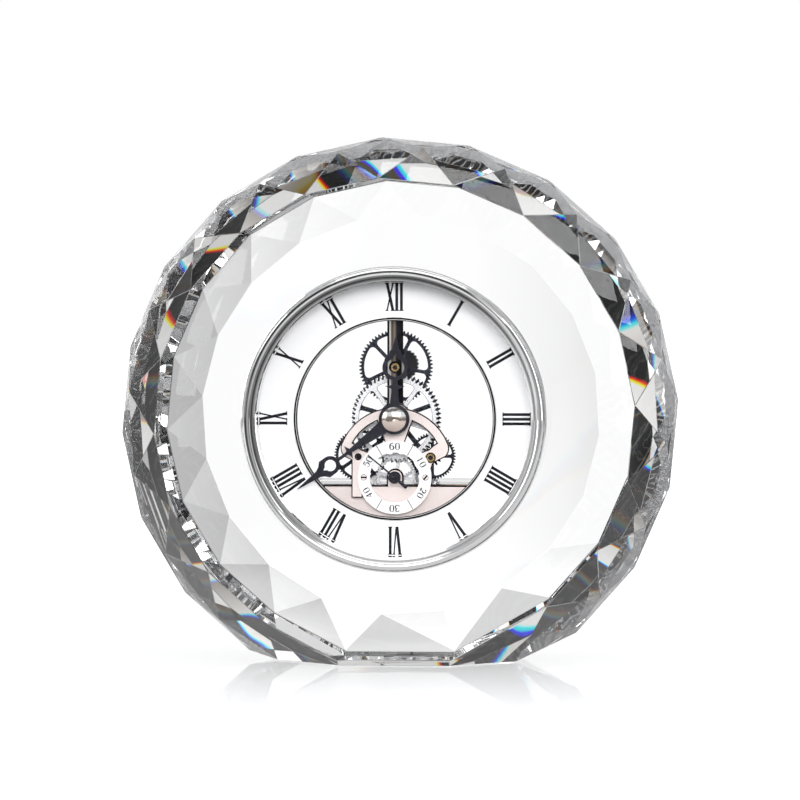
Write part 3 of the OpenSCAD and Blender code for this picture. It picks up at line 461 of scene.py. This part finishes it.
brushed = cloudy(bar_tree, 0.8 * MM, 4, stretch=(1, 1, 5))
bar_scratched_reflections = blended(bar_tree, brushed, (0.0, 0.0, 0.0), bar_painted_reflections)
bar_tree.links.new(blended(bar_tree, 0.3, bar_painted_reflections, bar_scratched_reflections),
                   bar_tree.nodes["Principled BSDF"].inputs["Base Color"])
worked(bar_polish, brushed, None, (0.12, 0.24), 0.004 * MM)
bevelled("upper_bar", 0.6 * MM, 3, bar_polish, dark_edge, "clock_body")
frame_silver = new_material("frame_silver", metallic=0.8)
worked(frame_silver, cloudy(frame_silver.node_tree, 0.3 * MM, 4), ((0.62, 0.62, 0.64), (0.78, 0.78, 0.80)),
       (0.25, 0.4), 0.003 * MM)
finish_node("movement_frame", frame_silver)

# Pillars, screws, posts, stud and arbors: turned steel, four of the arbors blued. The bushes that
# carry the arbors are brass rings pressed into the bar and the bridge, and a white metal one in
# the lower plate.
turned_steel = new_material("turned_steel", metallic=1.0)
worked(turned_steel, cloudy(turned_steel.node_tree, 0.2 * MM, 3, stretch=(1, 0.2, 1)),
       ((0.48, 0.48, 0.50), (0.72, 0.72, 0.74)), (0.12, 0.26), 0.002 * MM)
for node in ("pillars", "pillar_screws", "stator_posts", "idler_stud", "centre_arbor",
             "lower_arbor", "drive_pinion", "rotor_pinion"):
    finish_node(node, turned_steel)
blued_steel = new_material("blued_steel", metallic=0.9)
worked(blued_steel, cloudy(blued_steel.node_tree, 0.3 * MM), ((0.03, 0.03, 0.04), (0.10, 0.10, 0.13)),
       (0.12, 0.24))
for node in ("top_arbor", "right_arbor", "left_arbor", "seconds_arbor"):
    finish_node(node, blued_steel)
turned_brass = new_material("turned_brass", metallic=1.0)
worked(turned_brass, cloudy(turned_brass.node_tree, 0.3 * MM), ((0.50, 0.34, 0.14), (0.72, 0.52, 0.26)),
       (0.15, 0.3), 0.002 * MM)
for node in ("top_bush", "right_bush"):
    finish_node(node, turned_brass)
white_steel = new_material("white_steel", metallic=1.0)
worked(white_steel, cloudy(white_steel.node_tree, 0.3 * MM), ((0.74, 0.74, 0.76), (0.88, 0.88, 0.90)),
       (0.1, 0.2))
for node in ("seconds_bush", "cannon_pinion", "idler_pinion"):
    finish_node(node, white_steel)

# Wheels: stamped sheet, cut with teeth. The top, centre and side ones are blue-black, the hour
# wheel and the small fast ones silvered.
blue_black = new_material("blue_black", metallic=0.7)
worked(blue_black, cloudy(blue_black.node_tree, 0.5 * MM, 4), ((0.020, 0.022, 0.032), (0.055, 0.06, 0.08)),
       (0.2, 0.34), 0.004 * MM)
black_edge = new_material("black_edge", metallic=0.9)
worked(black_edge, cloudy(black_edge.node_tree, 0.5 * MM), ((0.12, 0.125, 0.15), (0.22, 0.225, 0.25)),
       (0.15, 0.25))
for node, body in (("top_wheel", "top_train"), ("centre_wheel", "minute_train"),
                   ("right_wheel", "right_train"), ("left_wheel", "left_train")):
    bevelled(node, 0.06 * MM, 1, blue_black, black_edge, body)
silvered = new_material("silvered", metallic=0.55)
worked(silvered, cloudy(silvered.node_tree, 0.4 * MM, 4), ((0.84, 0.84, 0.88), (0.95, 0.95, 0.97)),
       (0.22, 0.36), 0.003 * MM)
silver_edge = new_material("silver_edge", metallic=1.0)
worked(silver_edge, cloudy(silver_edge.node_tree, 0.5 * MM), ((0.10, 0.10, 0.12), (0.20, 0.20, 0.23)),
       (0.1, 0.2))
for node, body, width in (("hour_wheel", "hour_train", 0.11), ("lower_wheel", "lower_train", 0.04),
                          ("seconds_wheel", "seconds_train", 0.04), ("drive_wheel", "drive_train", 0.04)):
    bevelled(node, width * MM, 1, silvered, silver_edge, body)

# Motor: a laminated iron stator with a magnet rotor, a coil of fine copper wire on a black
# bobbin, and a small green board with its chip, its crystal can and the battery's contacts.
stator_iron = new_material("stator_iron", metallic=0.9)
worked(stator_iron, cloudy(stator_iron.node_tree, 0.8 * MM, 4), ((0.28, 0.27, 0.26), (0.42, 0.41, 0.40)),
       (0.3, 0.5), 0.005 * MM)
finish_node("stator", stator_iron)
magnet_dark = new_material("magnet_dark", metallic=0.6)
worked(magnet_dark, cloudy(magnet_dark.node_tree, 0.2 * MM, 4), ((0.05, 0.05, 0.055), (0.12, 0.12, 0.125)),
       (0.35, 0.55), 0.005 * MM)
finish_node("rotor_magnet", magnet_dark)
moulded_black = new_material("moulded_black")
worked(moulded_black, cloudy(moulded_black.node_tree, 0.5 * MM, 4),
       ((0.012, 0.012, 0.014), (0.03, 0.03, 0.033)), (0.35, 0.5), 0.006 * MM)
finish_node("coil_bobbin", moulded_black)
finish_node("control_chip", moulded_black)


def banded(tree, pitch, direction_axis, centre=(0, 0, 0)):
    """Even waves a pitch apart along one axis, or rings about it."""
    wave = tree.nodes.new("ShaderNodeTexWave")
    if direction_axis == "RINGS":
        wave.wave_type = "RINGS"
        wave.rings_direction = "Y"
    else:
        wave.bands_direction = direction_axis
    wave.inputs["Scale"].default_value = math.pi / 10 / pitch
    tree.links.new(object_place(tree, centre), wave.inputs["Vector"])
    return wave.outputs["Fac"]


copper_wire = new_material("copper_wire", metallic=0.9)
worked(copper_wire, banded(copper_wire.node_tree, 0.12 * MM, "X"), ((0.32, 0.12, 0.05), (0.72, 0.34, 0.16)),
       (0.35, 0.2), 0.04 * MM)
finish_node("coil_winding", copper_wire)
board_mask = new_material("board_mask")
worked(board_mask, banded(board_mask.node_tree, 0.9 * MM, "Z"), ((0.01, 0.10, 0.045), (0.02, 0.20, 0.09)),
       (0.25, 0.35), 0.02 * MM)
finish_node("circuit_board", board_mask)
can_silver = new_material("can_silver", metallic=1.0)
worked(can_silver, cloudy(can_silver.node_tree, 0.6 * MM), ((0.62, 0.62, 0.64), (0.8, 0.8, 0.82)),
       (0.15, 0.3))
finish_node("quartz_can", can_silver)
finish_node("cell_contacts", can_silver)

# Battery: one steel cell in a plain printed sleeve, copper at its plus end and black below. It
# lies between its contacts in the bay of the case.
sleeve_black = (0.012, 0.012, 0.014)
sleeve_copper = (0.60, 0.30, 0.12)
cell_metal = (0.6, 0.6, 0.62)
cell_sleeve = new_material("cell_sleeve")
cell_tree = cell_sleeve.node_tree
cell_axes = cell_tree.nodes.new("ShaderNodeSeparateXYZ")
cell_tree.links.new(object_place(cell_tree, (0, 0, 0), (MM, MM, MM)), cell_axes.inputs[0])
sleeve = graded(cell_tree, cell_axes.outputs["X"], -23, 23, (
    (-22.1, cell_metal), (-21.5, sleeve_black), (9.0, sleeve_black), (9.2, sleeve_copper),
    (20.5, sleeve_copper), (20.7, cell_metal),
))
worn = cloudy(cell_tree, 2 * MM)
cell_tree.links.new(blended(cell_tree, worn, sleeve, blended(cell_tree, 0.12, sleeve, (1, 1, 1))),
                    cell_tree.nodes["Principled BSDF"].inputs["Base Color"])
worked(cell_sleeve, worn, None, (0.2, 0.35))
finish_node("battery_cell", cell_sleeve)

# Seconds dial: a white painted ring with printed tens of seconds and four dividing strokes,
# held on the bridge by two slotted screws.
white_paint = new_material("white_paint")
worked(white_paint, cloudy(white_paint.node_tree, 0.2 * MM, 4), ((0.86, 0.86, 0.87), (0.93, 0.93, 0.94)),
       (0.35, 0.5), 0.002 * MM)
finish_node("seconds_dial", white_paint)
bevelled("seconds_dial_screws", 0.12 * MM, 1, rose_satin, dark_edge, "clock_body")
black_ink = new_material("black_ink")
worked(black_ink, cloudy(black_ink.node_tree, 0.3 * MM, 4), ((0.004, 0.004, 0.007), (0.010, 0.010, 0.016)),
       (0.4, 0.55))
black_ink.node_tree.nodes["Principled BSDF"].inputs["Specular IOR Level"].default_value = 0.2
seconds_centre = Vector((0, 0, 52.4)) * MM
seconds_front = -15.35 * MM
ink_lift = 0.03 * MM


def on_dial(turn, centre, front):
    """From a drawing that lies on the ground, its head to +Y, to a place turned round a dial."""
    stand = Matrix.Rotation(math.radians(90), 4, "X")
    spin = Matrix.Rotation(math.radians(turn), 4, "Y")
    return Matrix.Translation(centre + Vector((0, front, 0))) @ spin @ stand


# Each figure's pen strokes: whether a stroke closes, and its points as across, up and pen width
pen_strokes = {
    "0": [(True, ((-0.5, 0, 0.125), (-0.46, 0.85, 0.08), (0, 1.0, 0.03), (0.46, 0.85, 0.08),
                  (0.5, 0, 0.125), (0.46, -0.85, 0.08), (0, -1.0, 0.03), (-0.46, -0.85, 0.08)))],
    "1": [(False, ((0.0, 0.92, 0.11), (0.0, -0.92, 0.11))),
          (False, ((-0.3, -0.93, 0.04), (0.3, -0.93, 0.04))),
          (False, ((-0.3, 0.72, 0.04), (-0.1, 0.82, 0.06), (0.0, 0.92, 0.11)))],
    "2": [(False, ((-0.45, 0.5, 0.12), (-0.4, 1.0, 0.04), (0.25, 1.05, 0.08), (0.55, 0.45, 0.13),
                   (0.2, -0.2, 0.08), (-0.45, -0.85, 0.05))),
          (False, ((-0.48, -0.85, 0.11), (0.4, -0.85, 0.11), (0.52, -0.6, 0.04)))],
    "3": [(False, ((-0.42, 0.6, 0.12), (-0.3, 1.0, 0.04), (0.35, 1.02, 0.08), (0.5, 0.45, 0.12),
                   (0.1, 0.05, 0.04), (-0.1, 0.05, 0.03))),
          (False, ((-0.1, 0.05, 0.03), (0.5, 0.1, 0.07), (0.6, -0.5, 0.13), (0.3, -1.05, 0.08),
                   (-0.35, -1.0, 0.04), (-0.48, -0.62, 0.12)))],
    "4": [(False, ((0.18, 0.92, 0.11), (0.18, -0.92, 0.11))),
          (False, ((0.15, 0.9, 0.04), (-0.55, -0.35, 0.04))),
          (False, ((-0.57, -0.38, 0.05), (0.55, -0.38, 0.05))),
          (False, ((-0.1, -0.93, 0.04), (0.45, -0.93, 0.04)))],
    "5": [(False, ((-0.34, 0.9, 0.05), (-0.4, 0.05, 0.05))),
          (False, ((-0.36, 0.86, 0.1), (0.42, 0.86, 0.1))),
          (False, ((-0.4, 0.05, 0.04), (0.1, 0.4, 0.05), (0.55, 0.05, 0.11), (0.55, -0.6, 0.12),
                   (0.1, -1.08, 0.05), (-0.42, -0.9, 0.05), (-0.45, -0.65, 0.11)))],
    "6": [(False, ((0.4, 0.86, 0.08), (0.05, 1.1, 0.04), (-0.45, 0.6, 0.12), (-0.55, -0.4, 0.13),
                   (-0.3, -1.02, 0.06), (0.25, -1.02, 0.05), (0.56, -0.55, 0.13), (0.5, 0.0, 0.1),
                   (0.1, 0.32, 0.04), (-0.42, 0.05, 0.04)))],
}
digit_height = 1.93 * MM
digit_width = 1.6 * MM
figure_across = digit_width * 0.64
figure_up = digit_height / 2 * 0.94
figure_weight = 1.6
heaviest_pen = 0.13
figures_middle = 8.7 * MM
divider_angles = (-30, 30, 150, 210)
divider_ends = (7.15 * MM, 10.2 * MM)
divider_weight = 0.11
ink_curve = bpy.data.curves.new("seconds_figures", "CURVE")
ink_curve.dimensions = "3D"
ink_curve.bevel_depth = digit_height / 2
ink_curve.bevel_resolution = 1
ink_curve.resolution_u = 5
ink_curve.use_fill_caps = True
for count, text in enumerate(("60", "10", "20", "30", "40", "50")):
    turn = Matrix.Rotation(math.radians(-60 * count), 4, "Z")
    for place, digit in enumerate(text):
        for closed, points in pen_strokes[digit]:
            spline = ink_curve.splines.new("NURBS")
            spline.points.add(len(points) - 1)
            spline.use_cyclic_u = closed
            spline.use_endpoint_u = not closed
            spline.order_u = min(3, len(points))
            for point, (across, up, width) in zip(spline.points, points):
                spot = Vector(((place - 0.5) * digit_width + across * figure_across,
                               figures_middle + up * figure_up, 0))
                point.co = (*(turn @ spot), 1)
                point.radius = width * figure_weight
for angle in divider_angles:
    turn = Matrix.Rotation(math.radians(-angle), 4, "Z")
    spline = ink_curve.splines.new("POLY")
    spline.points.add(1)
    for point, reach in zip(spline.points, divider_ends):
        point.co = (*(turn @ Vector((0, reach, 0))), 1)
        point.radius = divider_weight
figures_object = bpy.data.objects.new("seconds_figures", ink_curve)
scene.collection.objects.link(figures_object)
finished_curve = figures_object.evaluated_get(bpy.context.evaluated_depsgraph_get())
figures_mesh = bpy.data.meshes.new_from_object(finished_curve)
bpy.data.objects.remove(figures_object)
flatten = Matrix.Diagonal((1, 1, ink_lift / (heaviest_pen * figure_weight * digit_height / 2), 1))
figures_mesh.transform(on_dial(0, seconds_centre, seconds_front) @ flatten)
figures_mesh.materials.clear()
figures_mesh.materials.append(black_ink)
seconds_figures = bpy.data.objects.new("seconds_figures", figures_mesh)
scene.collection.objects.link(seconds_figures)
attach(seconds_figures, "clock_body")

# Dial: a ring of thin aluminium, silvered and finely grained, with Roman hours printed on it,
# their feet to the centre.
dial_silver = new_material("dial_silver", metallic=0.05)
worked(dial_silver, cloudy(dial_silver.node_tree, 0.16 * MM, 5), ((0.88, 0.88, 0.91), (0.97, 0.97, 0.98)),
       (0.34, 0.5), 0.006 * MM)
finish_node("dial_plate", dial_silver)
dial_front = -15.25 * MM
hours_foot = 30.2 * MM
hours_head = 38.1 * MM
thick = 0.80 * MM
thin = 0.42 * MM
serif = 0.2 * MM
serif_reach = 2.2 * serif
bracket_reach = 1.1 * serif
bracket_rise = 0.7 * serif
letter_width = {"I": 1.30 * MM, "X": 2.5 * MM, "V": 2.5 * MM}
numerals = bmesh.new()


def stroke(turn, foot, head, width, low=hours_foot, high=hours_head):
    """A straight printed stroke from foot to head of a letter, cut square at both."""
    made = bmesh.ops.create_cube(numerals, size=1)["verts"]
    lean = Matrix.Identity(4)
    lean[0][1] = (head - foot) / (high - low)
    shape = (Matrix.Translation(((foot + head) / 2, (low + high) / 2, 0)) @ lean
             @ Matrix.Diagonal((width, high - low, 2 * ink_lift, 1)))
    bmesh.ops.transform(numerals, matrix=on_dial(turn, dial_centre, dial_front) @ shape, verts=made)


def letter(turn, kind, middle):
    """One Roman letter about its middle, each stroke's end with a serif and its bracket."""
    reach = (letter_width[kind] - thick) / 2
    if kind == "I":
        stroke(turn, middle, middle, thick)
        ends = [(middle, False, thick), (middle, True, thick)]
    elif kind == "X":
        stroke(turn, middle + reach, middle - reach, thick)
        stroke(turn, middle - reach, middle + reach, thin)
        ends = [(middle + reach, False, thick), (middle - reach, True, thick),
                (middle - reach, False, thin), (middle + reach, True, thin)]
    else:
        stroke(turn, middle, middle - reach, thick)
        stroke(turn, middle + thick / 4, middle + reach, thin)
        ends = [(middle - reach, True, thick), (middle + reach, True, thin)]
    for place, at_head, width in ends:
        low = hours_head - serif if at_head else hours_foot
        inner_low = low - bracket_rise if at_head else low + bracket_rise
        stroke(turn, place, place, width + serif_reach, low, low + serif)
        stroke(turn, place, place, width + bracket_reach, inner_low, inner_low + serif)


for hour, text in enumerate(("XII", "I", "II", "III", "IIII", "V", "VI", "VII", "VIII", "IX", "X", "XI")):
    left_edge = -sum(letter_width[kind] for kind in text) / 2
    for kind in text:
        letter(30 * hour, kind, left_edge + letter_width[kind] / 2)
        left_edge += letter_width[kind]
numerals_mesh = bpy.data.meshes.new("hour_numerals")
numerals.to_mesh(numerals_mesh)
numerals.free()
numerals_mesh.materials.append(black_ink)
hour_numerals = bpy.data.objects.new("hour_numerals", numerals_mesh)
scene.collection.objects.link(hour_numerals)
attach(hour_numerals, "clock_body")

# Bezel, its seal and glass, the bright wall between glass and dial, and the trim ring round the
# opening: turned brass, polished and chromed, their colours painted highlights, reflections and
# shade by radius. The glass sits in a black seal behind the lip, and the part of the bezel that goes into
# the block is left matt.
chrome = new_material("chrome", metallic=1.0)


def painted_ring_light(material, shaded, lit):
    """Paints onto a turned ring the light and shade that it shows, as tones by the distance from the
    dial's axis in millimetres, one row for its shaded upper left and one for its lit lower right."""
    tree = material.node_tree
    across = tree.nodes.new("ShaderNodeSeparateXYZ")
    tree.links.new(object_place(tree, dial_centre, (MM, MM, MM)), across.inputs[0])
    # Painted shade falls on the upper left and painted light on the lower right
    upper_left = arithmetic(tree, "SUBTRACT", arithmetic(tree, "MULTIPLY", across.outputs["Z"], 0.8),
                            arithmetic(tree, "MULTIPLY", across.outputs["X"], 0.6))
    shaded_share = graded(tree, upper_left, -42, 42, ((-20, 0), (16, 1)))
    reach = from_axis(tree)
    painted_rows = [graded(tree, reach, stops[0][0], stops[-1][0], as_light(stops)) for stops in (lit, shaded)]
    painted_light_and_shade = blended(tree, shaded_share, *painted_rows)
    # Fine turning rings, a little darker between them, laid over the painted light and shade
    rings = banded(tree, 0.25 * MM, "RINGS", dial_centre)
    turned = blended(tree, rings, blended(tree, 0.18, painted_light_and_shade, (0, 0, 0)), painted_light_and_shade)
    tree.links.new(turned, tree.nodes["Principled BSDF"].inputs["Base Color"])
    worked(material, rings, None, (0.03, 0.1))


# Painted highlights and reflections on the bezel by radius: the shaded row first, the lit row second
painted_ring_light(chrome, (
    (38.4, 0.64), (39.3, 0.60), (39.6, 0.42), (40.2, 0.50), (40.5, 0.98), (40.75, 0.86),
    (40.95, 0.28), (41.35, 0.40), (41.6, 0.98), (42.7, 0.98),
), (
    (38.4, 0.98), (39.1, 0.98), (39.35, 0.80), (39.6, 0.85), (40.1, 0.98), (40.7, 0.98),
    (41.0, 0.80), (41.8, 0.82), (42.2, 0.72), (42.5, 0.94), (42.7, 0.98),
))
block_face = -21.25
skirt_tone = (0.86, 0.86, 0.87)
skirt_roughness = (0.6, 0.6, 0.6)
chrome_share = 0.7
chrome_tree = chrome.node_tree
chrome_sockets = chrome_tree.nodes["Principled BSDF"].inputs
chrome_axes = chrome_tree.nodes.new("ShaderNodeSeparateXYZ")
chrome_tree.links.new(object_place(chrome_tree, (0, 0, 0), (MM, MM, MM)), chrome_axes.inputs[0])
skirt_share = graded(chrome_tree, chrome_axes.outputs["Y"], -30, 0, (
    (block_face - 0.1, 0), (block_face + 0.1, 1)))
# Behind the block's face the skirt is matt; in front it keeps the painted tones and the polish
for socket_name, matt in (("Base Color", skirt_tone), ("Roughness", skirt_roughness)):
    socket = chrome_sockets[socket_name]
    painted_tones_and_polish = socket.links[0].from_socket
    chrome_tree.links.new(blended(chrome_tree, skirt_share, painted_tones_and_polish, matt), socket)
unchromed = arithmetic(chrome_tree, "MULTIPLY", skirt_share, chrome_share)
chromed = arithmetic(chrome_tree, "SUBTRACT", chrome_share, unchromed)
chrome_tree.links.new(chromed, chrome_sockets["Metallic"])
finish_node("bezel_ring", chrome)
reflector = new_material("reflector", metallic=1.0)
# Painted highlight and shade on the bright wall: paler at the lower right, darker outward and at the upper
# left
painted_ring_light(reflector, ((38.0, 0.95), (38.6, 0.85), (39.0, 0.70), (40, 0.60)),
           ((38.0, 1.0), (39, 0.97), (40, 0.9)))
finish_node("reflector_ring", reflector)
trim_chrome = new_material("trim_chrome", metallic=0.4)
# Painted reflections on the trim ring: a bright line between two dark ones
painted_ring_light(trim_chrome,
           ((27.4, 0.06), (27.68, 0.06), (27.73, 1.0), (27.91, 1.0), (27.95, 0.03), (28.4, 0.03)),
           ((27.4, 0.10), (27.68, 0.10), (27.73, 1.0), (27.91, 1.0), (27.95, 0.04), (28.4, 0.04)))
finish_node("dial_trim_ring", trim_chrome)
lens_glass = new_material("lens_glass")
see_through(lens_glass, 1.12, (0.99, 0.99, 0.99))
worked(lens_glass, cloudy(lens_glass.node_tree, 10 * MM), ((0.99, 0.99, 0.99), (1, 1, 1)), (0.0, 0.003))
finish_node("front_lens", lens_glass)
seal_black = new_material("seal_black")
worked(seal_black, cloudy(seal_black.node_tree, 0.4 * MM), ((0.02, 0.02, 0.02), (0.05, 0.05, 0.05)),
       (0.45, 0.6), 0.004 * MM)
finish_node("lens_seal", seal_black)

# Hands: pressed steel, lacquered black, with broken edges that catch the light. The domed nut
# over them is turned brass, chromed, and painted with reflections and highlights in bands up its height.
lacquer = new_material("lacquer", metallic=0.2)
worked(lacquer, cloudy(lacquer.node_tree, 0.6 * MM, 3), ((0.012, 0.012, 0.018), (0.03, 0.03, 0.04)),
       (0.14, 0.24))
lacquer_edge = new_material("lacquer_edge", metallic=0.4)
worked(lacquer_edge, cloudy(lacquer_edge.node_tree, 0.6 * MM), ((0.03, 0.03, 0.045), (0.07, 0.07, 0.1)),
       (0.1, 0.2))
for node, body, width in (("hour_hand", "hour_train", 0.12), ("minute_hand", "minute_train", 0.12),
                          ("seconds_hand", "seconds_train", 0.06)):
    bevelled(node, width * MM, 2, lacquer, lacquer_edge, body)
swirl_height = 2.6
nut_chrome = new_material("nut_chrome", metallic=0.6)
nut_tree = nut_chrome.node_tree
nut_axes = nut_tree.nodes.new("ShaderNodeSeparateXYZ")
nut_tree.links.new(object_place(nut_tree, dial_centre, (MM, MM, MM)), nut_axes.inputs[0])
swirl = cloudy(nut_tree, 2.2 * MM, 2)
swirled = arithmetic(nut_tree, "MULTIPLY", arithmetic(nut_tree, "SUBTRACT", swirl, 0.5), swirl_height)
nut_height = arithmetic(nut_tree, "ADD", nut_axes.outputs["Z"], swirled)
# Painted reflections and highlights on the nut: pale peach below, a dark band, bright above, the bands
# waved by noise
nut_painted_reflections = graded(nut_tree, nut_height, -4, 4, as_light((
    (-4, (0.88, 0.80, 0.75)), (-0.9, (1.0, 0.93, 0.89)), (-0.45, (0.98, 0.90, 0.86)),
    (-0.2, (0.45, 0.41, 0.38)), (0.4, (0.62, 0.59, 0.56)), (0.8, (0.97, 0.96, 0.95)),
    (1.8, (1.0, 1.0, 1.0)), (2.3, (0.40, 0.38, 0.36)), (2.9, (0.55, 0.53, 0.52)),
    (3.3, (0.95, 0.94, 0.93)),
)))
nut_tree.links.new(nut_painted_reflections, nut_tree.nodes["Principled BSDF"].inputs["Base Color"])
worked(nut_chrome, swirl, None, (0.06, 0.14))
finish_node("hand_nut", nut_chrome)

# Setting knob: moulded black plastic, ribbed for the fingers. It is pressed on the top arbor,
# behind the case.
finish_node("setting_knob", moulded_black)
